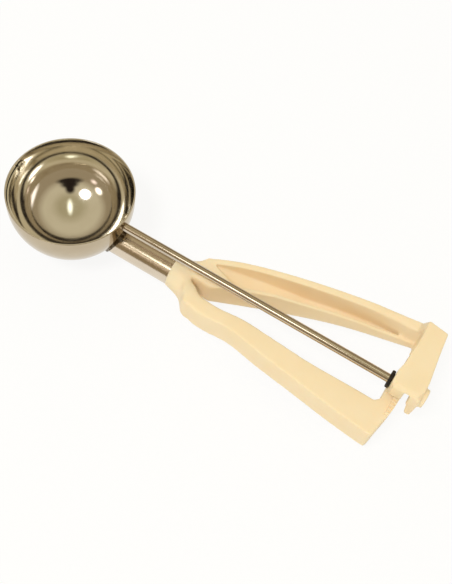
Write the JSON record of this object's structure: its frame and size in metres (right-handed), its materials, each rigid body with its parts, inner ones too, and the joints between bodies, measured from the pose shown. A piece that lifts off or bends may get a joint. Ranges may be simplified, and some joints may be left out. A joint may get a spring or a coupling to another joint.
{
  "type": "lever ice cream scoop",
  "caption": "Scoop with a polished half-round bowl, a long drive rod and a two-armed plastic handle; squeezing the lever arm turns a pinion and sweeps a thin blade round the bowl.",
  "frame": {"origin": "centre of the bowl's rim, in the rim's plane", "axes": "+X along the drive rod from the bowl to the handle, +Y towards the fixed arm, +Z out of the bowl"},
  "size_m": [0.2514, 0.0778, 0.0425],
  "materials": {
    "bowl_steel": "mirror polished stainless steel",
    "tube_steel": "polished",
    "blade_steel": "polished spring steel",
    "rod_steel": "drawn bright rod",
    "braze": "dull brazed metal",
    "black_rubber": "matte",
    "gear_plastic": "moulded",
    "ivory_plastic": "moulded, satin"
  },
  "bodies": {
    "frame": {"bowl": "bowl_steel", "neck_tube": "tube_steel", "neck_weld": "braze", "tip_rivet": "tube_steel", "handle_frame": "ivory_plastic"},
    "lever": {"squeeze_lever": "ivory_plastic"},
    "rod": {"drive_rod": "rod_steel", "scraper_blade": "blade_steel", "pinion_gear": "gear_plastic", "retaining_ring": "rod_steel", "thrust_washer": "black_rubber"}
  },
  "joints": [
    {"name": "lever_squeeze", "type": "hinge", "parent": "frame", "child": "lever", "pos_m": [0.08225, -0.0096, -0.02], "axis": [0, 0, 1], "range_deg": [0, 6.42], "stiffness_Nm_per_rad": 10},
    {"name": "rod_spin", "type": "hinge", "parent": "frame", "child": "rod", "pos_m": [0.1, 0, -0.0057], "axis": [1, 0, 0], "range_deg": [0, 172.5]}
  ],
  "couplings": [
    {"joint": "rod_spin", "follows": "lever_squeeze", "ratio": 26.833}
  ]
}
